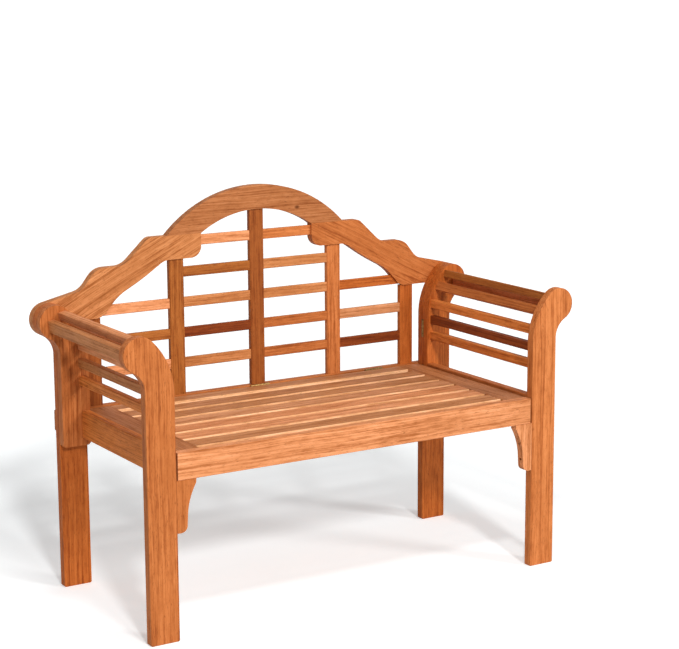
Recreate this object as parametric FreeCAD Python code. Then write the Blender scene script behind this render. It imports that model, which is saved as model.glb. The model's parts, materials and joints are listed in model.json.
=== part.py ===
import FreeCAD, Part
import math
import os
from FreeCAD import Vector

# Folding garden bench in oiled hardwood, in millimetres.
# +X is the viewer's right, +Y the back, +Z up. The origin is on the ground, under the middle of the bench.
# Sizes are first set with y = 0 at the front faces of the front legs, and centred at the end.
# Left and right are as seen from the front. Lengths named ..._share are shares of another length.

# Overall frame
legs_width = 1073.0            # across the outer faces of the legs
seat_height = 414.0            # top of the seat boards
arm_rise = 218.0               # seat to the middle of the arm scrolls
wing_rise = 178.0              # lower edge of the wings to their joint with the arch
arch_rise = 105.0              # that joint to the top of the arch
arm_length = 460.0             # front face of the front leg to the front face of the back leg
post_width = 68.0
post_thickness = 21.0
back_frame_thickness = 21.0    # wings, arch and rear rail
edge_ease = 1.2                # small chamfer along the straight boards and the front legs' faces
foot_ease = 2.5

# Scroll top that the legs and arm posts share, measured from the inner edge of the post
scroll_radius = 39.0
scroll_reach = 76.5            # inner edge to the centre of the scroll
scroll_curve_drop = 88.0       # centre of the scroll down to where the inner edge starts to curve
scroll_neck_radius = 50.0      # hollow under the scroll on the outer edge

# Arms
fold_gap = 0.5                 # between an arm's rear post and the back leg it folds against
arm_post_drop = 18.0           # arm's rear post below the apron
arm_post_corner = 5.0          # cut off its lower corners
apron_height = 63.0
apron_thickness = 20.0
apron_rise = 6.0               # apron's top above the seat
arm_slat_thickness = 16.0
arm_slat_width = 21.0
arm_slat_inset = 9.0           # from the inner edge of the posts
arm_slat_count = 3
arm_slat_start_share = 0.330   # of the height between the apron and the inner stave
arm_slat_pitch_share = 0.222
inner_stave_width = 22.5       # the slats that follow the scroll
inner_stave_inset = 7.0        # from the curved inner edge of the posts
inner_stave_drop = 14.7        # its middle below the centre of the scroll
inner_stave_tilt_deg = 23.0
top_slat_width = 19.0
top_slat_thickness = 18.0
top_slat_reach = 17.0          # its middle to the inside of the centre of the scroll
top_slat_rise = 15.5           # its middle above the centre of the scroll
top_slat_tilt_deg = 12.0
outer_stave_width = 28.0
outer_stave_reach = 9.5        # its middle to the outside of the centre of the scroll
outer_stave_drop = 7.0         # its middle below the centre of the scroll
outer_stave_tilt_deg = 9.0
arm_tenon = 13.0
arm_tenon_shoulder = 3.5

# Brackets under the front rail
bracket_width = 47.0
bracket_height = 115.0
bracket_thickness = 20.0

# Back
rear_rail_height = 47.0
rear_rail_rise = 1.5           # rail top above the seat
rear_rail_inset = 6.0          # rail end inside the leg's outer face
stile_width = 38.0
stile_thickness = 13.0
stile_spacing = 217.0
stile_tenon = 16.0
stile_tenon_shoulder = 4.0
back_slat_height = 24.0
back_slat_thickness = 10.0
back_slat_rows = 5
back_slat_low_gap = 76.0       # rear rail to the middle of the lowest row
back_slat_high_gap = 16.5      # middle of the highest row to the arch joint
back_slat_tenon = 8.0
back_slat_shoulder = 2.0
arch_depth = 58.0              # width of the arch's board at its top
crest_joint_reach = 242.0      # outer end of that joint from the middle
crest_inner_reach = 152.0      # inner end of that joint from the middle
lap_length = 46.0              # how far the arch's tongues run down behind the wings
wing_drop = 10.0               # lower edge of the wings below the centre of the scroll
wing_head_height = 57.0        # arch joint to the flat lower edge over the inner stiles

# Seat
seat_side_clearance = 4.0      # between the seat and the posts
seat_board_thickness = 18.0
side_rail_width = 62.0
side_rail_thickness = 20.0
front_rail_height = 60.0
front_rail_thickness = 22.0
front_rail_setback = 1.0
seat_rear_gap = 7.0            # seat's rear edge to the rear rail
seat_slat_width = 52.0
seat_front_gap = 13.0
seat_rear_slat_gap = 23.5      # wider gap in front of the rear slat
seat_slat_count = 7
seat_slat_tenon = 15.0
seat_slat_shoulder = 4.0
rear_slat_width = 45.0
batten_width = 39.0
batten_thickness = 9.5
batten_offset = 147.0
batten_rear_inset = 12.0

# Hinges
leaf_thickness = 1.5
hinge_pin_radius = 1.5
hinge_sides = 8                # facets round a knuckle or pin
hinge_clearance = 0.3
pin_clearance = 0.09
arm_hinge_length = 46.0
arm_hinge_knuckle = 3.0
arm_leaf_width = 26.0
arm_hinge_low_drop = 47.0      # lower hinge's foot below the seat
arm_hinge_high_rise = 72.0     # upper hinge's foot above the seat
seat_hinge_length = 51.0
seat_hinge_knuckle = 3.2
seat_leaf_width = 15.5
seat_hinge_spacing = 330.0

# Screws and bolts, drawn with flat sides
screw_sides = 6
bolt_sides = 6
screw_head_radius = 3.4
screw_shank_radius = 1.7
leaf_screw_length = 12.0
leaf_screw_head_radius = 2.6
leaf_screw_shank_radius = 1.2
batten_screw_length = 18.0
batten_screw_offset = 7.0      # to either side of the batten's middle, in turn
bracket_screw_length = 36.0
counterbore_radius = 4.0
counterbore_depth = 7.0
bolt_radius = 3.0
bolt_head_radius = 8.0
bolt_head_thickness = 4.0
bolt_length = 38.0
bolt_edge_inset = 18.0

# Clearances
joint_clearance = 0.2          # tenon in its mortise
screw_clearance = 0.05         # screw in its hole
cut_overrun = 5.0

# Places worked out from the sizes above
half_width = legs_width / 2
scroll_height = seat_height + arm_rise
apron_top = seat_height + apron_rise
wing_low = scroll_height - wing_drop
crest_joint_height = wing_low + wing_rise
overall_height = crest_joint_height + arch_rise
inner_stile_top = crest_joint_height - wing_head_height
inner_x = half_width - post_width
back_leg_y = arm_length
back_frame_y = back_leg_y + post_thickness
overall_depth = back_frame_y + back_frame_thickness
arm_rear_y = back_leg_y - fold_gap - post_thickness
scroll_x = inner_x + scroll_reach
seat_half = inner_x - seat_side_clearance
seat_rear_y = back_frame_y - seat_rear_gap
stile_y = back_frame_y + (back_frame_thickness - stile_thickness) / 2
back_slat_y = back_frame_y + (back_frame_thickness - back_slat_thickness) / 2
rear_rail_top = seat_height + rear_rail_rise

parts = {}
sockets = []
side_names = {1: "right", -1: "left"}


def handed(shape, side):
    """The shape as built for the right, or its mirror image for the left."""
    if side > 0:
        return shape
    return shape.mirror(Vector(0, 0, 0), Vector(1, 0, 0))


def box(low, high):
    """A plain block between two corners."""
    return Part.makeBox(high[0] - low[0], high[1] - low[1], high[2] - low[2], Vector(*low))


def grown(low, high, amount):
    """A block that is larger by an amount on every side."""
    return box([v - amount for v in low], [v + amount for v in high])


def eased_board(low, high, along):
    """A straight board with its four long edges eased."""
    a, b = [axis for axis in range(3) if axis != along]
    e = edge_ease
    ring = [(low[a] + e, low[b]), (high[a] - e, low[b]), (high[a], low[b] + e), (high[a], high[b] - e),
            (high[a] - e, high[b]), (low[a] + e, high[b]), (low[a], high[b] - e), (low[a], low[b] + e)]
    points = []
    for pa, pb in ring + ring[:1]:
        point = [0, 0, 0]
        point[a], point[b], point[along] = pa, pb, low[along]
        points.append(Vector(*point))
    run = [0, 0, 0]
    run[along] = high[along] - low[along]
    return Part.Face(Part.makePolygon(points)).extrude(Vector(*run))


def tenoned_board(low, high, along, tenon, shoulder, ends=(0, 1)):
    """A board between its shoulders with a tenon on each named end, and the mortises that the tenons need."""
    board = eased_board(low, high, along)
    cutters = []
    for end in ends:
        t_low = [v + shoulder for v in low]
        t_high = [v - shoulder for v in high]
        t_low[along] = (low[along] - tenon, high[along])[end]
        t_high[along] = (low[along], high[along] + tenon)[end]
        board = board.fuse(box(t_low, t_high))
        cutters.append(grown(t_low, t_high, joint_clearance))
    return board.removeSplitter(), cutters


def tilted_board(centre, angle_deg, width, thickness, y_low, y_high):
    """A tenoned board along Y whose wide face looks along angle_deg in the XZ plane."""
    low = (-thickness / 2, y_low, -width / 2)
    high = (thickness / 2, y_high, width / 2)
    board, cutters = tenoned_board(low, high, 1, arm_tenon, arm_tenon_shoulder)
    turn = FreeCAD.Rotation(Vector(0, 1, 0), -angle_deg)
    place = FreeCAD.Placement(Vector(centre[0], 0, centre[1]), turn)
    return board.transformed(place.toMatrix()), [c.transformed(place.toMatrix()) for c in cutters]


def outline_solid(steps, y_low, y_high):
    """A board cut to an outline: steps are corner points, or (middle, end) pairs for arcs."""
    edges = []
    here = steps[0]
    for step in list(steps[1:]) + [steps[0]]:
        is_arc = isinstance(step[0], tuple)
        end = step[1] if is_arc else step
        start_v = Vector(here[0], y_low, here[1])
        end_v = Vector(end[0], y_low, end[1])
        if is_arc:
            edges.append(Part.Arc(start_v, Vector(step[0][0], y_low, step[0][1]), end_v).toShape())
        elif start_v.distanceToPoint(end_v) > pin_clearance:
            edges.append(Part.LineSegment(start_v, end_v).toShape())
        here = end
    face = Part.Face(Part.Wire(Part.__sortEdges__(edges)))
    return face.extrude(Vector(0, y_high - y_low, 0))


def eased_face(solid, y):
    """The solid with the edges that lie in one Y plane eased."""
    edges = []
    for edge in solid.Edges:
        limits = edge.BoundBox
        if abs(limits.YMin - y) < pin_clearance and abs(limits.YMax - y) < pin_clearance:
            edges.append(edge)
    return solid.makeChamfer(edge_ease, edges)


def on_circle(centre, radius, angle):
    """A point on a circle, with the angle in radians."""
    return (centre[0] + radius * math.cos(angle), centre[1] + radius * math.sin(angle))


def scroll_geometry():
    """Centres, radii and tangent points of the scroll outline for the right-hand post."""
    centre = (scroll_x, scroll_height)
    radius_gap = 2 * (scroll_reach - scroll_radius)
    inner_radius = (scroll_reach ** 2 + scroll_curve_drop ** 2 - scroll_radius ** 2) / radius_gap
    inner_centre = (inner_x + inner_radius, scroll_height - scroll_curve_drop)
    inner_angle = math.atan2(centre[1] - inner_centre[1], centre[0] - inner_centre[0])
    neck_x = half_width + scroll_neck_radius
    neck_drop = math.sqrt((scroll_neck_radius + scroll_radius) ** 2 - (neck_x - scroll_x) ** 2)
    neck_centre = (neck_x, scroll_height - neck_drop)
    neck_angle = math.atan2(neck_centre[1] - centre[1], neck_centre[0] - centre[0])
    return centre, inner_centre, inner_radius, inner_angle, neck_centre, neck_angle


def scroll_post(y_low, bottom, foot):
    """A full post with its scroll top, from its bottom height up, with its two bottom corners cut by foot."""
    centre, inner_centre, inner_radius, inner_angle, neck_centre, neck_angle = scroll_geometry()
    inner_middle = on_circle(inner_centre, inner_radius, (inner_angle + math.pi) / 2)
    inner_end = on_circle(inner_centre, inner_radius, inner_angle)
    scroll_middle = on_circle(centre, scroll_radius, (inner_angle + neck_angle) / 2)
    scroll_end = on_circle(centre, scroll_radius, neck_angle)
    neck_start = neck_angle + math.pi
    neck_middle = on_circle(neck_centre, scroll_neck_radius, (neck_start + math.pi) / 2)
    steps = [(inner_x, bottom + foot), (inner_x, inner_centre[1]), (inner_middle, inner_end),
             (scroll_middle, scroll_end), (neck_middle, (half_width, neck_centre[1])), (half_width, bottom + foot),
             (half_width - foot, bottom), (inner_x + foot, bottom)]
    return outline_solid(steps, y_low, y_low + post_thickness)


def make_posts():
    """The four legs and the rear posts of the two folding arms."""
    for side, word in side_names.items():
        parts[word + "_front_leg"] = handed(eased_face(scroll_post(0, 0, foot_ease), 0), side)
        parts[word + "_back_leg"] = handed(scroll_post(back_leg_y, 0, foot_ease), side)
        arm_post_bottom = apron_top - apron_height - arm_post_drop
        parts[word + "_arm_rear_post"] = handed(scroll_post(arm_rear_y, arm_post_bottom, arm_post_corner), side)


def keep(name, board, cutters, side):
    """Stores a board and its mortises on one side of the bench."""
    parts[name] = handed(board, side)
    sockets.extend((name, handed(cutter, side)) for cutter in cutters)


def make_arm_boards():
    """Side apron, three upright slats and the three slats round the scroll, for each arm."""
    y_low, y_high = post_thickness, arm_rear_y
    inner_centre, inner_radius = scroll_geometry()[1:3]
    stave_radius = inner_radius - inner_stave_inset - arm_slat_thickness / 2
    stave_angle = math.pi - math.asin((scroll_curve_drop - inner_stave_drop) / stave_radius)
    inner_middle = on_circle(inner_centre, stave_radius, stave_angle)
    top_middle = (scroll_x - top_slat_reach, scroll_height + top_slat_rise)
    outer_middle = (scroll_x + outer_stave_reach, scroll_height - outer_stave_drop)
    staves = (("inner_stave", inner_middle, 180 - inner_stave_tilt_deg, inner_stave_width, arm_slat_thickness),
              ("top_slat", top_middle, 90 - top_slat_tilt_deg, top_slat_width, top_slat_thickness),
              ("outer_stave", outer_middle, -outer_stave_tilt_deg, outer_stave_width, arm_slat_thickness))
    open_height = inner_middle[1] - inner_stave_width / 2 - apron_top
    for side, word in side_names.items():
        low = (inner_x, y_low, apron_top - apron_height)
        high = (inner_x + apron_thickness, y_high, apron_top)
        board, cutters = tenoned_board(low, high, 1, arm_tenon, arm_tenon_shoulder)
        keep(word + "_arm_apron", board, cutters, side)
        for number in range(arm_slat_count):
            bottom = apron_top + open_height * (arm_slat_start_share + arm_slat_pitch_share * number)
            low = (inner_x + arm_slat_inset, y_low, bottom)
            high = (inner_x + arm_slat_inset + arm_slat_thickness, y_high, bottom + arm_slat_width)
            board, cutters = tenoned_board(low, high, 1, arm_tenon, arm_tenon_shoulder)
            keep("%s_arm_slat_%d" % (word, number + 1), board, cutters, side)
        for kind, middle, angle_deg, width, thickness in staves:
            board, cutters = tilted_board(middle, angle_deg, width, thickness, y_low, y_high)
            keep("%s_arm_%s" % (word, kind), board, cutters, side)


def make_brackets():
    """The two shaped brackets that carry the seat's front rail."""
    top = seat_height - front_rail_height
    # Outline as shares of the bracket's width and height, from the top corner down to the post.
    heel_share = (0.98, 0.08)
    hollow_share = (0.70, 0.33)
    waist_share = (0.55, 0.60)
    belly_share = (0.51, 0.86)
    toe_middle_share = (0.42, 0.96)
    toe_share = (0.20, 1.00)

    def at(share):
        return (inner_x - bracket_width * share[0], top - bracket_height * share[1])

    steps = [(inner_x, top), (inner_x - bracket_width, top), at(heel_share), (at(hollow_share), at(waist_share)),
             at(belly_share), (at(toe_middle_share), at(toe_share)), (inner_x, top - bracket_height)]
    y_low = (post_thickness - bracket_thickness) / 2
    bracket = outline_solid(steps, y_low, y_low + bracket_thickness)
    for side, word in side_names.items():
        parts[word + "_bracket"] = handed(bracket, side)


def arch_circle(reach, top):
    """Centre height and radius of the circle through both ends of the crest joint and the given top."""
    sagitta = top - crest_joint_height
    radius = (reach ** 2 + sagitta ** 2) / (2 * sagitta)
    return top - radius, radius


def arch_tongue(side, clearance):
    """The half-thickness tongue that runs down behind one wing."""
    steps_low = crest_joint_height - lap_length - clearance
    corners = []
    for reach, top, sign in ((crest_joint_reach, overall_height, 1), (crest_inner_reach, overall_height - arch_depth, -1)):
        centre_z, radius = arch_circle(reach, top)
        radius = radius + sign * clearance
        heights = (crest_joint_height, (crest_joint_height + steps_low) / 2, steps_low)
        corners.append([(math.sqrt(radius ** 2 - (z - centre_z) ** 2), z) for z in heights])
    outer, inner = corners
    steps = [outer[0], (outer[1], outer[2]), inner[2], (inner[1], inner[0])]
    y_low = back_frame_y + back_frame_thickness / 2 - clearance
    return handed(outline_solid(steps, y_low, back_frame_y + back_frame_thickness + clearance), side)


def make_arch():
    """The arched crest board with a half-lap tongue at each end."""
    outer_top, inner_top = overall_height, overall_height - arch_depth
    steps = [(-crest_joint_reach, crest_joint_height), ((0, outer_top), (crest_joint_reach, crest_joint_height)),
             (crest_inner_reach, crest_joint_height), ((0, inner_top), (-crest_inner_reach, crest_joint_height))]
    arch = outline_solid(steps, back_frame_y, back_frame_y + back_frame_thickness)
    parts["crest_arch"] = arch.fuse([arch_tongue(1, 0), arch_tongue(-1, 0)]).removeSplitter()


def rounded(corners):
    """Outline steps through (point, radius) corners, each rounded by its radius where that isn't zero."""
    steps = []
    for number, (corner, radius) in enumerate(corners):
        if radius == 0:
            steps.append(corner)
            continue
        here = Vector(corner[0], 0, corner[1])
        before, after = corners[number - 1][0], corners[(number + 1) % len(corners)][0]
        back = (Vector(before[0], 0, before[1]) - here).normalize()
        onward = (Vector(after[0], 0, after[1]) - here).normalize()
        half_angle = back.getAngle(onward) / 2
        inward = (back + onward).normalize()
        start = here + back * (radius / math.tan(half_angle))
        end = here + onward * (radius / math.tan(half_angle))
        middle = here + inward * (radius / math.sin(half_angle) - radius)
        steps += [(start.x, start.z), ((middle.x, middle.z), (end.x, end.z))]
    return steps


def wing_outline():
    """The wave-shaped outline of the right wing, from the crest joint out to the scroll and back."""
    rise = crest_joint_height - wing_low
    reach = scroll_x - crest_inner_reach
    # Corners as shares of the wing's reach and of its rise, each with its radius as a share of the reach.
    shoulder_share, shoulder_radius_share = (0.349, 1.000), 0.061
    hollow_share, hollow_radius_share = (0.514, 0.657), 0.124
    step_share, step_radius_share = (0.691, 0.657), 0.114
    tail_share, tail_radius_share = (0.784, 0.390), 0.117
    toe_share, toe_radius_share = (0.664, 0.000), 0.091
    belly_share, belly_radius_share = (0.554, 0.274), 0.338
    sweep_share, sweep_radius_share = (0.404, 0.449), 1.500
    ledge_height_share = (inner_stile_top - wing_low) / rise
    ledge_share, ledge_radius_share = (0.247, ledge_height_share), 0.100
    corner_share, corner_radius_share = (0.000, ledge_height_share), 0.070

    def at(share, radius_share):
        return (crest_inner_reach + reach * share[0], wing_low + rise * share[1]), reach * radius_share

    centre = (scroll_x, scroll_height)
    tail = at(tail_share, tail_radius_share)
    away = (tail[0][0] - centre[0], tail[0][1] - centre[1])
    touch_angle = math.atan2(away[1], away[0]) - math.acos(scroll_radius / math.hypot(*away))
    foot_angle = math.pi + math.asin((scroll_height - wing_low) / scroll_radius)
    scroll_touch = on_circle(centre, scroll_radius, touch_angle)
    scroll_foot = on_circle(centre, scroll_radius, foot_angle)
    scroll_side = on_circle(centre, scroll_radius, (touch_angle + foot_angle) / 2 + math.pi)
    upper = rounded([((crest_inner_reach, crest_joint_height), 0), at(shoulder_share, shoulder_radius_share),
                     at(hollow_share, hollow_radius_share), at(step_share, step_radius_share), tail,
                     (scroll_touch, 0)])
    lower = rounded([(scroll_foot, 0), at(toe_share, toe_radius_share), at(belly_share, belly_radius_share),
                     at(sweep_share, sweep_radius_share), at(ledge_share, ledge_radius_share),
                     at(corner_share, corner_radius_share), ((crest_inner_reach, crest_joint_height), 0)])
    return upper + [(scroll_side, scroll_foot)] + lower[1:-1]


def make_wings():
    """The two wings between the arch and the back legs."""
    rear_y = back_frame_y + back_frame_thickness
    wing = outline_solid(wing_outline(), back_frame_y, rear_y)
    for side, word in side_names.items():
        parts[word + "_wing"] = handed(wing, side)
        sockets.append(("crest_arch", arch_tongue(side, joint_clearance)))


def make_rear_rail():
    """The rail behind the back legs that carries the stiles and the seat hinges."""
    x_end = half_width - rear_rail_inset
    low = (-x_end, back_frame_y, rear_rail_top - rear_rail_height)
    high = (x_end, back_frame_y + back_frame_thickness, rear_rail_top)
    parts["rear_rail"] = eased_board(low, high, 0)


def make_stiles():
    """The five upright stiles, tenoned into the rear rail and the crest."""
    arch_z, arch_r = arch_circle(crest_inner_reach, overall_height - arch_depth)
    centre_top = arch_z + math.sqrt(arch_r ** 2 - (stile_width / 2) ** 2) - joint_clearance
    outer_x = 2 * stile_spacing
    places = (("left_outer", -outer_x, wing_low), ("left_inner", -stile_spacing, inner_stile_top),
              ("centre", 0, centre_top), ("right_inner", stile_spacing, inner_stile_top),
              ("right_outer", outer_x, wing_low))
    for word, x, top in places:
        low = (x - stile_width / 2, stile_y, rear_rail_top)
        high = (x + stile_width / 2, stile_y + stile_thickness, top)
        board, cutters = tenoned_board(low, high, 2, stile_tenon, stile_tenon_shoulder)
        keep(word + "_stile", board, cutters, 1)


def back_slat(x_low, x_high, row, housed=False):
    """One back slat between x_low and x_high, tenoned, or housed whole in the wing at its outer end."""
    lowest = rear_rail_top + back_slat_low_gap
    z = lowest + (crest_joint_height - back_slat_high_gap - lowest) * row / (back_slat_rows - 1)
    low = (x_low, back_slat_y, z - back_slat_height / 2)
    high = (x_high, back_slat_y + back_slat_thickness, z + back_slat_height / 2)
    if not housed:
        return tenoned_board(low, high, 0, back_slat_tenon, back_slat_shoulder)
    board, cutters = tenoned_board(low, high, 0, back_slat_tenon, back_slat_shoulder, ends=(0,))
    return board, cutters + [grown(low, high, joint_clearance)]


def make_back_slats():
    """The back slats, grouped by bay: five in each middle bay and three in each outer bay."""
    half_stile = stile_width / 2
    inner_edge, outer_edge = stile_spacing + half_stile, 2 * stile_spacing - half_stile
    for side, word in side_names.items():
        for bay, rows in (("inner", back_slat_rows), ("outer", back_slat_rows - 2)):
            boards, cutters = [], []
            for row in range(rows):
                if bay == "outer":
                    board, tools = back_slat(inner_edge, outer_edge, row, housed=(row == rows - 1))
                elif row == rows - 1:
                    board, tools = back_slat(half_stile, crest_inner_reach, row)
                else:
                    board, tools = back_slat(half_stile, stile_spacing - half_stile, row)
                boards.append(board)
                cutters += tools
            keep("%s_%s_back_slats" % (word, bay), Part.makeCompound(boards), cutters, side)


def make_seat_frame():
    """Front rail and flat side rails of the folding seat."""
    y_low = front_rail_setback
    y_shoulder = y_low + front_rail_thickness
    parts["seat_front_rail"] = eased_board((-seat_half, y_low, seat_height - front_rail_height),
                                           (seat_half, y_shoulder, seat_height), 0)
    for side, word in side_names.items():
        low = (seat_half - side_rail_width, y_shoulder, seat_height - side_rail_thickness)
        high = (seat_half, seat_rear_y, seat_height)
        board, cutters = tenoned_board(low, high, 1, seat_slat_tenon, seat_slat_shoulder, ends=(0,))
        keep("seat_%s_rail" % word, board, cutters, side)


def seat_slat_spans():
    """Front and rear edges of the seat slats, with even gaps up to the wider one before the last."""
    front = front_rail_setback + front_rail_thickness + seat_front_gap
    rear_front = seat_rear_y - rear_slat_width
    pitch = (rear_front - seat_rear_slat_gap - seat_slat_width - front) / (seat_slat_count - 2)
    starts = [front + pitch * number for number in range(seat_slat_count - 1)]
    return [(start, start + seat_slat_width) for start in starts] + [(rear_front, seat_rear_y)]


def make_seat_slats():
    """The seven seat slats between the side rails, and the two battens under them."""
    reach = seat_half - side_rail_width
    for number, (front, rear) in enumerate(seat_slat_spans(), 1):
        low = (-reach, front, seat_height - seat_board_thickness)
        high = (reach, rear, seat_height)
        board, cutters = tenoned_board(low, high, 0, seat_slat_tenon, seat_slat_shoulder)
        keep("seat_slat_%d" % number, board, cutters, 1)
    top = seat_height - seat_board_thickness
    for side, word in side_names.items():
        low = (batten_offset - batten_width / 2, front_rail_setback + front_rail_thickness, top - batten_thickness)
        high = (batten_offset + batten_width / 2, seat_rear_y - batten_rear_inset, top)
        parts["seat_%s_batten" % word] = handed(eased_board(low, high, 1), side)


def ring_points(radius, base, along, sides):
    """The corners of a regular polygon round an axis, with the first one repeated at the end."""
    along = Vector(along).normalize()
    across = along.cross(Vector(1, 0, 0))
    if across.Length < edge_ease / radius * pin_clearance:
        across = along.cross(Vector(0, 1, 0))
    across.normalize()
    upward = along.cross(across)
    points = []
    for number in range(sides + 1):
        angle = 2 * math.pi * (number % sides) / sides
        points.append(Vector(base) + across * (radius * math.cos(angle)) + upward * (radius * math.sin(angle)))
    return points


def rod(radius, length, base, along, sides):
    """A flat-sided rod from its base along an axis."""
    ring = Part.makePolygon(ring_points(radius, base, along, sides))
    return Part.Face(ring).extrude(Vector(along).normalize() * length)


def flat_cone(wide_radius, narrow_radius, base, along, sides):
    """A flat-sided cone that narrows at 45 degrees from its base along an axis."""
    wide = ring_points(wide_radius, base, along, sides)
    narrow = ring_points(narrow_radius, base + along * (wide_radius - narrow_radius), along, sides)
    outlines = [wide, narrow]
    for number in range(sides):
        outlines.append([wide[number], wide[number + 1], narrow[number + 1], narrow[number], wide[number]])
    faces = [Part.Face(Part.makePolygon(outline)) for outline in outlines]
    cone = Part.makeSolid(Part.makeShell(faces))
    if cone.Volume < 0:
        cone.reverse()
    return cone


def countersunk(head, along, head_radius, shank_radius, length):
    """A countersunk screw with its head flush at a point, and the hole that it needs."""
    shapes = []
    depth = head_radius - shank_radius
    for extra in (0, screw_clearance):
        cone = flat_cone(head_radius + extra, shank_radius + extra, head, along, screw_sides)
        shank = rod(shank_radius + extra, length - depth + extra, head + along * depth, along, screw_sides)
        shapes.append(cone.fuse(shank))
    return shapes


def stepped(head, along, head_radius, head_depth, shank_radius, length, bore_depth, sides):
    """A screw or bolt with a flat head, and its stepped hole with a counterbore in front of the head."""
    shapes = []
    for extra in (0, screw_clearance):
        cap = rod(head_radius + extra, head_depth + extra, head, along, sides)
        shank = rod(shank_radius + extra, length + extra, head, along, sides)
        shapes.append(cap.fuse(shank).removeSplitter())
    bore = rod(head_radius + screw_clearance, bore_depth, head - along * bore_depth, along, sides)
    shapes[1] = shapes[1].fuse(bore)
    return shapes


def hinge(place, length, knuckle, leaf_width, leaf_inner, screws):
    """A butt hinge along local +Z: two leaves towards +X, a round and a flat-sided pin, and its screws."""
    third = length / 3
    up = Vector(0, 0, 1)
    runs = {"a": ((0, third), (2 * third, length)), "b": ((third, 2 * third),)}
    shapes, fasteners = {}, {}
    for leaf, other, sign in (("a", "b", 1), ("b", "a", -1)):
        y_low, y_high = sorted((sign * leaf_inner, sign * (leaf_inner + leaf_thickness)))
        plate = box((0, y_low, hinge_clearance), (leaf_width, y_high, length - hinge_clearance))
        for start, end in runs[other]:
            plate = plate.cut(grown((0, y_low, start), (knuckle, y_high, end), hinge_clearance))
        for start, end in runs[leaf]:
            base = Vector(0, 0, start + hinge_clearance)
            plate = plate.fuse(rod(knuckle, end - start - 2 * hinge_clearance, base, up, hinge_sides))
        bore_radius = (hinge_pin_radius + pin_clearance) / math.cos(math.pi / hinge_sides)
        plate = plate.cut(rod(bore_radius, length, Vector(0, 0, 0), up, hinge_sides))
        shapes[leaf] = plate.removeSplitter()
        fasteners[leaf] = []
        for share in screws:
            head = Vector((leaf_width + knuckle) / 2, sign * leaf_inner, length * share)
            fasteners[leaf].append(countersunk(head, Vector(0, sign, 0), leaf_screw_head_radius,
                                               leaf_screw_shank_radius, leaf_screw_length))
    base, run = Vector(0, 0, hinge_clearance), length - 2 * hinge_clearance
    shapes["pin"] = Part.makeCylinder(hinge_pin_radius, run, base)
    shapes["fixed_pin"] = rod(hinge_pin_radius, run, base, up, hinge_sides)
    move = place.toMatrix()
    shapes = {name: shape.transformed(move) for name, shape in shapes.items()}
    for leaf in fasteners:
        fasteners[leaf] = [(s.transformed(move), h.transformed(move)) for s, h in fasteners[leaf]]
    return shapes, fasteners


def store_screws(name, pairs):
    """Stores a group of identical screws as one node and cuts their holes."""
    parts[name] = Part.makeCompound([screw for screw, hole in pairs])
    sockets.extend((name, hole) for screw, hole in pairs)


def make_arm_hinges():
    """Two upright hinges for each folding arm, let into its rear post and the back leg, screws and all."""
    leaves, pins = {"a": [], "b": []}, []
    screw_shares = (0.17, 0.83)
    for side in side_names:
        for height in (seat_height - arm_hinge_low_drop, seat_height + arm_hinge_high_rise):
            turn = FreeCAD.Rotation(Vector(1, 0, 0), Vector(0, 1, 0), Vector(0, 0, 1), "ZXY")
            place = FreeCAD.Placement(Vector(inner_x, back_leg_y - fold_gap / 2, height), turn)
            shapes, fasteners = hinge(place, arm_hinge_length, arm_hinge_knuckle, arm_leaf_width, fold_gap / 2,
                                      screw_shares)
            pins.append(handed(shapes["fixed_pin"], side))
            for leaf in leaves:
                fitted = shapes[leaf].fuse([screw for screw, hole in fasteners[leaf]])
                leaves[leaf].append(handed(fitted.removeSplitter(), side))
                sockets.extend(("arm_hinge", handed(hole, side)) for screw, hole in fasteners[leaf])
            recess_low = (inner_x - arm_hinge_knuckle, back_leg_y - fold_gap / 2 - fold_gap / 2 - leaf_thickness, height)
            recess_high = (inner_x + arm_leaf_width, back_leg_y + leaf_thickness, height + arm_hinge_length)
            recess = grown(recess_low, recess_high, joint_clearance)
            barrel = rod(arm_hinge_knuckle + hinge_clearance, arm_hinge_length + 2 * joint_clearance,
                         Vector(inner_x, back_leg_y - fold_gap / 2, height - joint_clearance), Vector(0, 0, 1),
                         hinge_sides)
            sockets.append(("arm_hinge", handed(recess.fuse(barrel), side)))
    parts["arm_hinge_leg_leaves"] = Part.makeCompound(leaves["a"])
    parts["arm_hinge_arm_leaves"] = Part.makeCompound(leaves["b"])
    parts["arm_hinge_pins"] = Part.makeCompound(pins)


def make_seat_hinges():
    """The hinges between the seat's rear edge and the rear rail."""
    rail_leaves, seat_leaves, pins, rail_screws, seat_screws = [], [], [], [], []
    screw_shares = (0.17, 0.83)
    axis_y = back_frame_y - seat_rear_gap / 2
    for x in (-seat_hinge_spacing, 0, seat_hinge_spacing):
        turn = FreeCAD.Rotation(Vector(0, 0, -1), Vector(0, 1, 0), Vector(1, 0, 0), "ZXY")
        place = FreeCAD.Placement(Vector(x - seat_hinge_length / 2, axis_y, seat_height), turn)
        shapes, fasteners = hinge(place, seat_hinge_length, seat_hinge_knuckle, seat_leaf_width,
                                  seat_rear_gap / 2 - leaf_thickness, screw_shares)
        rail_leaves.append(shapes["a"])
        seat_leaves.append(shapes["b"])
        pins.append(shapes["pin"])
        rail_screws += fasteners["a"]
        seat_screws += fasteners["b"]
    parts["seat_hinge_rail_leaves"] = Part.makeCompound(rail_leaves)
    parts["seat_hinge_seat_leaves"] = Part.makeCompound(seat_leaves)
    parts["seat_hinge_pins"] = Part.makeCompound(pins)
    store_screws("seat_hinge_rail_screws", rail_screws)
    store_screws("seat_hinge_seat_screws", seat_screws)


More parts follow.
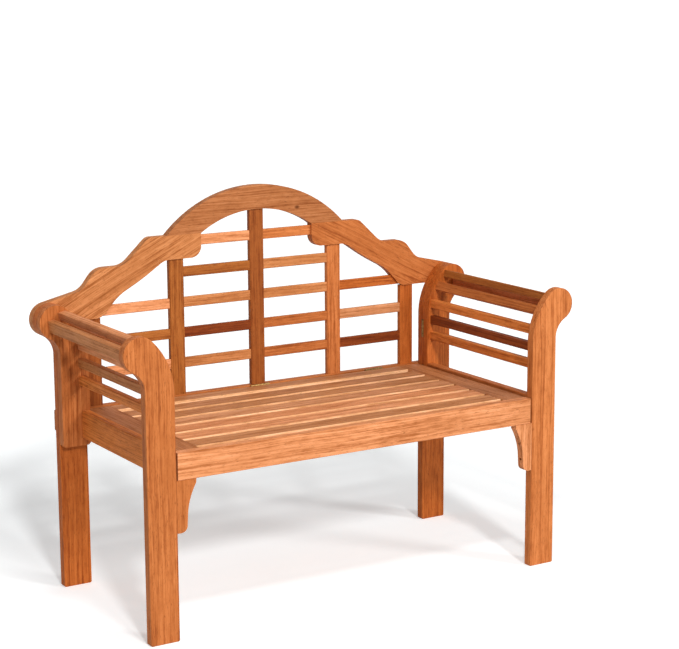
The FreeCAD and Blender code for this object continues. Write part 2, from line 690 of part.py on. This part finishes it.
def make_batten_screws():
    """One screw through each batten into each seat slat, in a zigzag."""
    pairs = []
    level = seat_height - seat_board_thickness - batten_thickness
    for side in side_names:
        shift = batten_screw_offset
        for front, rear in seat_slat_spans():
            rear = min(rear, seat_rear_y - batten_rear_inset)
            head = Vector(side * (batten_offset + shift), (front + rear) / 2, level)
            pairs.append(countersunk(head, Vector(0, 0, 1), screw_head_radius, screw_shank_radius,
                                     batten_screw_length))
            shift = -shift
    store_screws("batten_screws", pairs)


def make_bracket_screws():
    """Two screws in the edge of each bracket, sunk in counterbores and driven into the front leg."""
    pairs = []
    top = seat_height - front_rail_height
    height_shares = (0.42, 0.76)
    depth_shares = (0.68, 0.53)
    for side in side_names:
        for height_share, depth_share in zip(height_shares, depth_shares):
            x = inner_x - bracket_width * depth_share + counterbore_depth
            head = Vector(x, post_thickness / 2, top - bracket_height * height_share)
            pair = stepped(head, Vector(1, 0, 0), counterbore_radius, screw_shank_radius, screw_shank_radius,
                           bracket_screw_length, bracket_width, screw_sides)
            pairs.append([handed(s, side) for s in pair])
    store_screws("bracket_screws", pairs)


def make_frame_bolts():
    """Bolts through each back leg into the wing and the rear rail, with heads flush under the arm's post."""
    pairs = []
    rail_middle = rear_rail_top - rear_rail_height / 2
    rail_step = rear_rail_height / 5
    places = ((scroll_x, scroll_height), (half_width - bolt_edge_inset, rail_middle - rail_step),
              (inner_x + bolt_edge_inset * 2, rail_middle + rail_step))
    for side in side_names:
        for x, z in places:
            pair = stepped(Vector(x, back_leg_y, z), Vector(0, 1, 0), bolt_head_radius, bolt_head_thickness,
                           bolt_radius, bolt_length, cut_overrun, bolt_sides)
            pairs.append([handed(s, side) for s in pair])
    parts["frame_bolts"] = Part.makeCompound([bolt for bolt, hole in pairs])
    for bolt, hole in pairs:
        reach = grown((-legs_width, back_leg_y, 0), (legs_width, overall_depth, overall_height), 0)
        sockets.append(("frame_bolts", hole.common(reach)))


def cut_sockets():
    """Cuts every mortise, lap, recess and hole into the pieces that it enters."""
    for name, shape in parts.items():
        tools = [tool for owner, tool in sockets
                 if not name.startswith(owner) and tool.BoundBox.intersect(shape.BoundBox)]
        if not tools:
            continue
        solids = []
        for solid in shape.Solids:
            near = [tool for tool in tools if tool.BoundBox.intersect(solid.BoundBox)]
            cut = solid.cut(near) if near else solid
            solids += cut.Solids
        parts[name] = solids[0] if len(solids) == 1 else Part.makeCompound(solids)


def main():
    """Builds every piece, centres the bench and writes one STEP file for each node."""
    make_posts()
    make_arm_boards()
    make_brackets()
    make_arch()
    make_wings()
    make_rear_rail()
    make_stiles()
    make_back_slats()
    make_seat_frame()
    make_seat_slats()
    make_arm_hinges()
    make_seat_hinges()
    make_batten_screws()
    make_bracket_screws()
    make_frame_bolts()
    cut_sockets()
    os.makedirs("parts", exist_ok=True)
    for name, shape in parts.items():
        shape.translated(Vector(0, -overall_depth / 2, 0)).exportStep("parts/%s.step" % name)
    print(len(parts), "nodes", sum(len(shape.Solids) for shape in parts.values()), "solids")


main()
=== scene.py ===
"""Looks of the folding garden bench: oiled hardwood, brass hinges and plated screws, on a white floor."""
import json
import math

import bpy
from mathutils import Matrix, Vector

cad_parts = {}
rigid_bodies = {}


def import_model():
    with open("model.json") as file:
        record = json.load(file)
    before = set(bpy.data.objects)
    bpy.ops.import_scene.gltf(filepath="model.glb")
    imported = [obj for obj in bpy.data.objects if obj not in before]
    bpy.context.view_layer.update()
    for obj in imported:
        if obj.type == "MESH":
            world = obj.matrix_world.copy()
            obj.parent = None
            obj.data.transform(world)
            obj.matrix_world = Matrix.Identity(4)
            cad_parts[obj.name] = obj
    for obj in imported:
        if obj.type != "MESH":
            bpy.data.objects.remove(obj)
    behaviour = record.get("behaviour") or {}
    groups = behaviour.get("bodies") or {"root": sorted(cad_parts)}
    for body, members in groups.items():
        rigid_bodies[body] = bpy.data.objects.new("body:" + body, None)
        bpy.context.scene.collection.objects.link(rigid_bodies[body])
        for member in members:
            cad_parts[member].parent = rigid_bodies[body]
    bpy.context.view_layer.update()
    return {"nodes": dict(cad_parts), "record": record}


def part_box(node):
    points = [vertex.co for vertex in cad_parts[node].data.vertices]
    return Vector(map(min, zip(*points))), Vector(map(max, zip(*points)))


# Camera, in metres and pixels of the photograph
PHOTO_WIDTH, PHOTO_HEIGHT = 679, 649
FOCAL_PIXELS = 1829.8
CAMERA_PLACE = Vector((-2.1231, -3.5967, 1.4005))
CAMERA_YAW = math.radians(31.614)
CAMERA_PITCH = math.radians(-10.888)
CAMERA_ROLL = math.radians(-0.296)
CENTRE_COLUMN, CENTRE_ROW = 339.9, 325.8
SENSOR_WIDTH = 36.0
CLIP_END = 900.0

# Light: a pale sky, two low lamps far away in front of the bench, to its left and right, and a near high one.
# Each low lamp has its energy, the direction of its light and its spread.
SKY_STRENGTH = 0.33
WHITE = 1.0
LOW_LAMPS = {
    "left_lamp": (1.5, Vector((0.36, 1.6, -1.0)), math.radians(6.0)),
    "right_lamp": (1.15, Vector((-1.27, 1.9, -1.0)), math.radians(13.0)),
}
HIGH_LAMP_POWER = 92.0
HIGH_LAMP_PLACE = (-0.5, -1.51, 2.5)
HIGH_LAMP_RADIUS = 0.16

# Floor, which glows a little to the camera: less near the bench than far from it
FLOOR_SIZE = 800.0
FLOOR_COLOUR = (0.87, 0.9, 0.91)
NEAR_FLOOR, FAR_FLOOR = 1.3, 3.2
NEAR_GLOW, FAR_GLOW = 0.33, 0.47

# Tones of the boards: the middle colour of each
TONES = {
    "amber": (0.45, 0.130, 0.030),
    "copper": (0.53, 0.160, 0.040),
    "honey": (0.49, 0.177, 0.054),
    "rose": (0.62, 0.230, 0.085),
    # Pale cream: the own tone of pale boards, and partly painted light on the right arm's outer stave
    "cream_and_light": (0.69, 0.270, 0.108),
    "tan": (0.46, 0.178, 0.062),
    "sand": (0.55, 0.222, 0.088),
    "umber": (0.39, 0.135, 0.042),
    "olive": (0.35, 0.104, 0.018),
    # Dark walnut: the centre stile's own tone, and painted shade on the left outer stile
    "walnut_and_shade": (0.28, 0.072, 0.012),
    "ember": (0.63, 0.185, 0.036),
    "rust": (0.45, 0.110, 0.017),
    "mahogany": (0.215, 0.042, 0.006),
    # Painted highlight: the pale colour given to the seat slats' front edges, standing in for the light on
    # them
    "painted_lit_edge": (0.80, 0.42, 0.20),
}
PLAIN_TONE = "amber"

# Which boards differ from the plain tone
BOARD_TONES = {
    "left_back_leg": "rust", "right_back_leg": "rust", "right_arm_rear_post": "rust",
    "right_front_leg": "copper", "right_bracket": "rose",
    "seat_front_rail": "rose", "seat_left_rail": "umber", "seat_right_rail": "umber",
    "seat_slat_1": "tan", "seat_slat_2": "cream_and_light", "seat_slat_3": "rose", "seat_slat_4": "sand",
    "seat_slat_5": "tan", "seat_slat_6": "tan", "seat_slat_7": "tan",
    # The left outer stile's dark walnut tone is painted shade: the arm's shadow on it
    "left_outer_stile": "walnut_and_shade", "left_inner_stile": "olive", "centre_stile": "walnut_and_shade",
    "right_inner_stile": "copper", "right_outer_stile": "rust",
    "left_wing": "honey", "crest_arch": "umber",
    "left_arm_slat_1": "ember", "left_arm_slat_2": "honey", "left_arm_slat_3": "cream_and_light",
    "left_arm_top_slat": "rose", "left_arm_outer_stave": "honey", "left_arm_apron": "ember",
    "right_arm_slat_1": "ember", "right_arm_slat_2": "mahogany", "right_arm_slat_3": "ember",
    # The right arm's outer stave is pale partly from its own wood and partly as painted light on its inner
    # face, which lies in the top slat's shade
    "right_arm_top_slat": "olive", "right_arm_outer_stave": "cream_and_light",
}

# Tones of the back slats in each group, from the lowest row up
SLAT_TONES = {
    "left_outer_back_slats": ("rose", "olive", "cream_and_light"),
    "left_inner_back_slats": ("honey", "mahogany", "honey", "olive", "cream_and_light"),
    "right_inner_back_slats": ("amber", "amber", "honey", "honey", "copper"),
    "right_outer_back_slats": ("mahogany", "sand", "rust"),
}

# Directions of the grain where it doesn't run along a board's longest side
ALONG_X = (1.0, 0.0, 0.0)
UPRIGHT = (0.0, 0.0, 1.0)
WING_SLOPE = math.radians(27)
GRAIN = {
    "left_wing": (math.cos(WING_SLOPE), 0.0, math.sin(WING_SLOPE)),
    "right_wing": (math.cos(WING_SLOPE), 0.0, -math.sin(WING_SLOPE)),
    "left_bracket": UPRIGHT,
    "right_bracket": UPRIGHT,
}
UPRIGHT_ENDINGS = ("leg", "post")

# A seat slat's face that looks further forward than this is its front edge, which is painted pale as a
# painted highlight of the light on it
LIT_EDGE_NORMAL = -0.7

# Step between the seeds of the back slats in a group
SLAT_SEED_STEP = 0.31

# Knots: their place, and the radius at which they start and end as shares of their radius
KNOTS = {"crest_arch": Vector((0.1115, 0.23, 0.8435))}
KNOT_RADIUS = 0.0045
KNOT_EDGE_SHARE, KNOT_CORE_SHARE = 2.0, 0.6
KNOT_SHAPE = (1.0, 0.0, 1.4)

# Noise of the wood: length along the grain and width across it in metres, detail and roughness
WOOD_NOISE = {
    "figure": (1.1, 0.017, 2.0, 0.5),
    "streaks": (0.28, 0.0040, 3.0, 0.6),
    "fibres": (0.07, 0.0016, 2.0, 0.5),
    "pores": (0.011, 0.0010, 1.0, 0.5),
    "patches": (0.22, 0.05, 2.0, 0.5),
    "mottle": (0.030, 0.010, 3.0, 0.6),
}

# Layers of the grain: the noise that counts as none and as all of each, and its weight
GRAIN_LAYERS = {
    "figure": (0.30, 0.70, 0.14),
    "streaks": (0.32, 0.68, 0.36),
    "fibres": (0.25, 0.75, 0.28),
    "mottle": (0.28, 0.72, 0.22),
}
DARK_LEVEL, MIDDLE_LEVEL, LIGHT_LEVEL = 0.20, 0.47, 0.70

# Shares of a tone that the dark lines, the light wood between them and the pores have
DARK_SHARES = (0.58, 0.45, 0.30)
LIGHT_SHARES = (1.20, 1.32, 1.55)
PORE_SHARE = 0.6

# Slow changes along a board, by the patches' noise
DULL_PATCH = (0.32, (0.89, 0.85, 0.78))
CLEAR_PATCH = (0.68, (1.10, 1.14, 1.21))

# Pores: the noise at their edge and in them, and how much of the dark they show
PORE_EDGE, PORE_CORE = 0.36, 0.28
PORE_COVER = 0.7

# Growth rings round a pith beside the board, in metres; they fade where the patches' noise is low
RING_SPACING = 0.014
RING_SPACING_SHARE, RING_SPACING_SWING = 1.4, 0.6
RING_WANDER = 2.2
RING_SHARPNESS = 2.0
RING_END = 0.88
RING_WEIGHT = -0.20
RINGS_FADED, RINGS_CLEAR = 0.35, 0.60
PITH_DISTANCE = 0.11
PITH_TILT = math.radians(2.2)

# How fast each board's own number turns its pith and changes its rings
TILT_STEP_Z, TILT_STEP_Y = 2.3, 1.7
PITH_ANGLE_STEP = 2.4
SPACING_STEP = 5.1

# A board's place in the tree: a step for each board, within a limit, in metres
PLACE_STEPS = ((1.37, 5.0), (2.11, 7.0), (3.73, 9.0))
WAVE_LENGTH = 0.30
WAVE_DEPTH = 0.012

# Surface of the wood
SHEEN = 0.15
ROUGH_VALLEY, SMOOTH_RIDGE = 0.70, 0.55
VALLEY_NOISE, RIDGE_NOISE = 0.3, 0.7
BUMP_STRENGTH = 0.35
BUMP_DEPTH = 0.0003

# Metals: scale and detail of their clouds, the dark and bright colour, and the range of roughness
CLOUD_DARK, CLOUD_BRIGHT = 0.35, 0.65
AGED_BRASS = (180.0, 3.0, (0.15, 0.080, 0.025), (0.34, 0.21, 0.075), 0.35, 0.6)
ZINC_PLATE = (320.0, 4.0, (0.30, 0.27, 0.20), (0.62, 0.58, 0.46), 0.3, 0.5)

# Sockets of the colour Mix node, which has one set of sockets for each kind of value
MIX_FACTOR, MIX_A, MIX_B, MIX_RESULT = 0, 6, 7, 2


def node_maker(tree):
    """A short way to add nodes and link them: make(type, inputs, settings) gives the node."""
    def make(kind, inputs=None, **settings):
        node = tree.nodes.new(kind)
        for key, value in settings.items():
            setattr(node, key, value)
        for key, value in (inputs or {}).items():
            if isinstance(value, bpy.types.NodeSocket):
                tree.links.new(value, node.inputs[key])
            else:
                node.inputs[key].default_value = value
        return node
    return make


def fresh(name):
    """A new material with only its shader and output."""
    material = bpy.data.materials.new(name)
    material.use_nodes = True
    tree = material.node_tree
    tree.nodes.clear()
    make = node_maker(tree)
    shader = make("ShaderNodeBsdfPrincipled")
    make("ShaderNodeOutputMaterial", {"Surface": shader.outputs[0]})
    return material, tree, make, shader


def ramp(make, factor, stops):
    """A colour ramp through (place, colour) stops."""
    node = make("ShaderNodeValToRGB", {"Fac": factor})
    elements = node.color_ramp.elements
    while len(elements) < len(stops):
        elements.new(1.0)
    for element, (place, colour) in zip(elements, stops):
        element.position = place
        element.color = (*colour, 1.0)
    return node.outputs[0]


def map_range(make, value, low, high, to_low=0.0, to_high=1.0):
    """A value carried from one range to another, and held at its ends."""
    node = make("ShaderNodeMapRange", {"Value": value, "From Min": low, "From Max": high,
                                       "To Min": to_low, "To Max": to_high})
    return node.outputs[0]


def math_node(make, operation, *values):
    """One Math node."""
    return make("ShaderNodeMath", dict(enumerate(values)), operation=operation).outputs[0]


def vector_math(make, operation, *values):
    """One Vector Math node."""
    return make("ShaderNodeVectorMath", dict(enumerate(values)), operation=operation)


def vector_length(make, vector):
    """The length of a vector."""
    return vector_math(make, "LENGTH", vector).outputs["Value"]


def object_place(make):
    """Places in the object's own metres."""
    return make("ShaderNodeTexCoord").outputs["Object"]


def mix_colour(make, factor, first, second, blend="MIX"):
    """Two colours mixed by a factor."""
    node = make("ShaderNodeMix", {MIX_FACTOR: factor, MIX_A: first, MIX_B: second}, data_type="RGBA",
                blend_type=blend)
    return node.outputs[MIX_RESULT]


def stretched_noise(make, coords, length, width, detail, roughness):
    """Noise drawn out along the grain."""
    scaled = make("ShaderNodeMapping", {"Vector": coords, "Scale": (1 / length, 1 / width, 1 / width)})
    noise = make("ShaderNodeTexNoise", {"Vector": scaled.outputs[0], "Scale": 1.0, "Detail": detail,
                                        "Roughness": roughness})
    return noise.outputs["Fac"]


def turn_to_grain(direction):
    """The rotation that lays the grain along X."""
    return Vector(direction).to_track_quat("X", "Z").to_matrix().inverted().to_euler()


def grain_coordinates(make, direction, seed):
    """Object coordinates with X along the grain, at a place of the board's own in the tree, gently waved."""
    place = Vector([seed * step % limit for step, limit in PLACE_STEPS])
    straight = make("ShaderNodeMapping", {"Vector": object_place(make), "Location": place,
                                          "Rotation": turn_to_grain(direction)}).outputs[0]
    wave = make("ShaderNodeTexNoise", {"Vector": straight, "Scale": 1 / WAVE_LENGTH, "Detail": 1.0})
    centred = vector_math(make, "SUBTRACT", wave.outputs["Color"], (0.5, 0.5, 0.5))
    across = vector_math(make, "MULTIPLY", centred.outputs[0], (0.0, WAVE_DEPTH, WAVE_DEPTH))
    return vector_math(make, "ADD", straight, across.outputs[0]).outputs[0]


def growth_lines(make, direction, seed, figure):
    """Growth rings round a pith beside the board: soft at their start and dark at their end."""
    turn = turn_to_grain(direction)
    turn.rotate_axis("Z", PITH_TILT * math.sin(seed * TILT_STEP_Z))
    turn.rotate_axis("Y", PITH_TILT * math.cos(seed * TILT_STEP_Y))
    angle = seed * PITH_ANGLE_STEP
    pith = Vector((0.0, PITH_DISTANCE * math.cos(angle), PITH_DISTANCE * math.sin(angle)))
    turned = make("ShaderNodeMapping", {"Vector": object_place(make), "Location": pith, "Rotation": turn})
    across = vector_math(make, "MULTIPLY", turned.outputs[0], (0.0, 1.0, 1.0))
    distance = vector_length(make, across.outputs[0])
    spacing = RING_SPACING * (RING_SPACING_SHARE + math.sin(seed * SPACING_STEP) * RING_SPACING_SWING)
    rings = math_node(make, "DIVIDE", distance, spacing)
    uneven = math_node(make, "MULTIPLY_ADD", figure, RING_WANDER, rings)
    part = math_node(make, "FRACT", uneven)
    rise = math_node(make, "POWER", part, RING_SHARPNESS)
    fall = map_range(make, part, 1.0, RING_END)
    return math_node(make, "MULTIPLY", rise, fall)


def knot(make, place):
    """One at a knot, falling to zero round it."""
    away = vector_math(make, "SUBTRACT", object_place(make), tuple(place))
    shaped = vector_math(make, "MULTIPLY", away.outputs[0], KNOT_SHAPE)
    distance = vector_length(make, shaped.outputs[0])
    return map_range(make, distance, KNOT_EDGE_SHARE * KNOT_RADIUS, KNOT_CORE_SHARE * KNOT_RADIUS)


def shaded(colour, shares):
    """A colour with each of its channels multiplied by a share."""
    return tuple(part * share for part, share in zip(colour, shares))


def wood(name, tone, direction, seed, knot_place=None):
    """Oiled hardwood: growth lines, streaks, fibres and pores, with slow changes of tone along the board."""
    middle = TONES[tone]
    dark = shaded(middle, DARK_SHARES)
    deep = (*(PORE_SHARE * part for part in dark), 1.0)
    material, tree, make, shader = fresh(name)
    coords = grain_coordinates(make, direction, seed)
    noise = {layer: stretched_noise(make, coords, *sizes) for layer, sizes in WOOD_NOISE.items()}

    lines = growth_lines(make, direction, seed, noise["figure"])
    clear = map_range(make, noise["patches"], RINGS_FADED, RINGS_CLEAR)
    grain = math_node(make, "MULTIPLY", math_node(make, "MULTIPLY", lines, clear), RING_WEIGHT)
    for layer, (low, high, weight) in GRAIN_LAYERS.items():
        grain = math_node(make, "MULTIPLY_ADD", map_range(make, noise[layer], low, high), weight, grain)

    colour = ramp(make, grain, [(DARK_LEVEL, dark), (MIDDLE_LEVEL, middle),
                                (LIGHT_LEVEL, shaded(middle, LIGHT_SHARES))])
    slow = ramp(make, noise["patches"], [DULL_PATCH, CLEAR_PATCH])
    colour = mix_colour(make, 1.0, colour, slow, "MULTIPLY")
    pores = map_range(make, noise["pores"], PORE_EDGE, PORE_CORE)
    colour = mix_colour(make, math_node(make, "MULTIPLY", pores, PORE_COVER), colour, deep)
    if knot_place:
        colour = mix_colour(make, knot(make, knot_place), colour, deep)
    tree.links.new(colour, shader.inputs["Base Color"])

    rough = map_range(make, noise["fibres"], VALLEY_NOISE, RIDGE_NOISE, ROUGH_VALLEY, SMOOTH_RIDGE)
    tree.links.new(rough, shader.inputs["Roughness"])
    shader.inputs["Specular IOR Level"].default_value = SHEEN
    height = math_node(make, "SUBTRACT", noise["fibres"], pores)
    bump = make("ShaderNodeBump", {"Height": height, "Strength": BUMP_STRENGTH, "Distance": BUMP_DEPTH})
    tree.links.new(bump.outputs[0], shader.inputs["Normal"])
    return material


def clouded_metal(name, scale, detail, dark, bright, smooth, rough):
    """A metal whose colour and gloss change in small clouds."""
    material, tree, make, shader = fresh(name)
    noise = make("ShaderNodeTexNoise", {"Vector": object_place(make), "Scale": scale, "Detail": detail})
    clouds = noise.outputs["Fac"]
    tree.links.new(ramp(make, clouds, [(CLOUD_DARK, dark), (CLOUD_BRIGHT, bright)]),
                   shader.inputs["Base Color"])
    tree.links.new(map_range(make, clouds, 0.0, 1.0, smooth, rough), shader.inputs["Roughness"])
    shader.inputs["Metallic"].default_value = 1.0
    return material


def brass():
    """Dull aged brass of the hinges, tarnished in clouds."""
    return clouded_metal("aged_brass", *AGED_BRASS)


def plated_steel():
    """Yellowish zinc plating of the screws and bolts, with fine wear."""
    return clouded_metal("plated_steel", *ZINC_PLATE)


def grain_direction(node):
    """The direction of a board's grain: its own, upright for the posts, or along its longest side."""
    if node in GRAIN:
        return GRAIN[node]
    if node.endswith(UPRIGHT_ENDINGS):
        return UPRIGHT
    low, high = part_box(node)
    size = high - low
    longest = max(range(3), key=lambda axis: size[axis])
    return tuple(float(axis == longest) for axis in range(3))


def dress_slats(node, obj, seed):
    """Gives each back slat of a group its own board: the rows are told apart by their height."""
    tones = SLAT_TONES[node]
    low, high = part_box(node)
    row_height = (high.z - low.z) / len(tones)
    for row, tone in enumerate(tones):
        name = "wood_%s_%d" % (node, row + 1)
        obj.data.materials.append(wood(name, tone, ALONG_X, seed + SLAT_SEED_STEP * row))
    for face in obj.data.polygons:
        face.material_index = min(int((face.center.z - low.z) / row_height), len(tones) - 1)


def paint_seat_slat_highlight(node, obj, seed):
    """Paints a seat slat's front edge pale as a painted highlight of the light that falls on it; it shows in
    the gaps between the slats.
    """
    obj.data.materials.append(wood("edge_" + node, "painted_lit_edge", ALONG_X, seed))
    for face in obj.data.polygons:
        face.material_index = int(face.normal.y < LIT_EDGE_NORMAL)


def dress(frame):
    """Gives every node its material. A board's number in the sorted list is its seed."""
    metal = {"brass": brass(), "screw_steel": plated_steel()}
    slots = {row["node"]: row["material_slot"] for row in frame["record"]["subparts"]}
    for seed, (node, obj) in enumerate(sorted(frame["nodes"].items()), 1):
        obj.data.materials.clear()
        if slots[node] in metal:
            obj.data.materials.append(metal[slots[node]])
        elif node in SLAT_TONES:
            dress_slats(node, obj, seed)
        else:
            tone = BOARD_TONES.get(node, PLAIN_TONE)
            board = wood("wood_" + node, tone, grain_direction(node), seed, KNOTS.get(node))
            obj.data.materials.append(board)
            if node.startswith("seat_slat"):
                paint_seat_slat_highlight(node, obj, seed)


def seen_directly(make):
    """One for camera rays and for mirrored or transmitted ones, and zero for light on surfaces."""
    path = make("ShaderNodeLightPath")
    seen = path.outputs["Is Camera Ray"]
    for ray in ("Is Glossy Ray", "Is Transmission Ray"):
        seen = math_node(make, "MAXIMUM", seen, path.outputs[ray])
    return seen


def add_floor():
    """A wide pale floor that looks white and keeps the bench's shadow."""
    bpy.ops.mesh.primitive_plane_add(size=FLOOR_SIZE, location=(0, 0, 0))
    floor = bpy.context.object
    floor.name = "floor"
    material, tree, make, shader = fresh("floor_white")
    shader.inputs["Base Color"].default_value = (*FLOOR_COLOUR, 1.0)
    shader.inputs["Roughness"].default_value = 1.0
    shader.inputs["Specular IOR Level"].default_value = 0.0
    distance = vector_length(make, object_place(make))
    spread = map_range(make, distance, NEAR_FLOOR, FAR_FLOOR, NEAR_GLOW, FAR_GLOW)
    glow = math_node(make, "MULTIPLY", seen_directly(make), spread)
    shader.inputs["Emission Color"].default_value = (1.0, 1.0, 1.0, 1.0)
    tree.links.new(glow, shader.inputs["Emission Strength"])
    floor.data.materials.append(material)


def add_lamp(name, kind, energy):
    """A lamp in the scene, and its data."""
    data = bpy.data.lights.new(name, kind)
    data.energy = energy
    lamp = bpy.data.objects.new(name, data)
    bpy.context.scene.collection.objects.link(lamp)
    return lamp, data


def add_light():
    """A pale sky that looks white, and the three lamps."""
    world = bpy.data.worlds.new("sky")
    bpy.context.scene.world = world
    world.use_nodes = True
    tree = world.node_tree
    make = node_maker(tree)
    strength = map_range(make, seen_directly(make), 0.0, 1.0, SKY_STRENGTH, WHITE)
    background = tree.nodes["Background"]
    background.inputs["Color"].default_value = (1.0, 1.0, 1.0, 1.0)
    tree.links.new(strength, background.inputs["Strength"])
    for name, (energy, direction, spread) in LOW_LAMPS.items():
        lamp, data = add_lamp(name, "SUN", energy)
        data.angle = spread
        lamp.rotation_mode = "QUATERNION"
        lamp.rotation_quaternion = direction.to_track_quat("-Z", "Y")
    lamp, data = add_lamp("high_lamp", "POINT", HIGH_LAMP_POWER)
    data.shadow_soft_size = HIGH_LAMP_RADIUS
    lamp.location = HIGH_LAMP_PLACE


def add_camera():
    """The camera fitted to the photograph's straight edges."""
    data = bpy.data.cameras.new("camera")
    data.sensor_width = SENSOR_WIDTH
    data.lens = FOCAL_PIXELS * SENSOR_WIDTH / PHOTO_WIDTH
    data.shift_x = (PHOTO_WIDTH / 2 - CENTRE_COLUMN) / PHOTO_WIDTH
    data.shift_y = (CENTRE_ROW - PHOTO_HEIGHT / 2) / PHOTO_WIDTH
    data.clip_end = CLIP_END
    forward = Vector((math.sin(CAMERA_YAW) * math.cos(CAMERA_PITCH),
                      math.cos(CAMERA_YAW) * math.cos(CAMERA_PITCH),
                      math.sin(CAMERA_PITCH)))
    right = Vector((math.cos(CAMERA_YAW), -math.sin(CAMERA_YAW), 0.0))
    up = right.cross(forward)
    turned_right = right * math.cos(CAMERA_ROLL) + up * math.sin(CAMERA_ROLL)
    turned_up = up * math.cos(CAMERA_ROLL) - right * math.sin(CAMERA_ROLL)
    camera = bpy.data.objects.new("camera", data)
    axes = Matrix((turned_right, turned_up, -forward)).transposed().to_4x4()
    camera.matrix_world = Matrix.Translation(CAMERA_PLACE) @ axes
    bpy.context.scene.collection.objects.link(camera)
    bpy.context.scene.camera = camera


def main():
    """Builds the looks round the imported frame."""
    for thing in list(bpy.data.objects):
        bpy.data.objects.remove(thing)
    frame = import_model()
    dress(frame)
    add_floor()
    add_light()
    add_camera()
    bpy.context.scene.view_settings.view_transform = "Standard"


main()
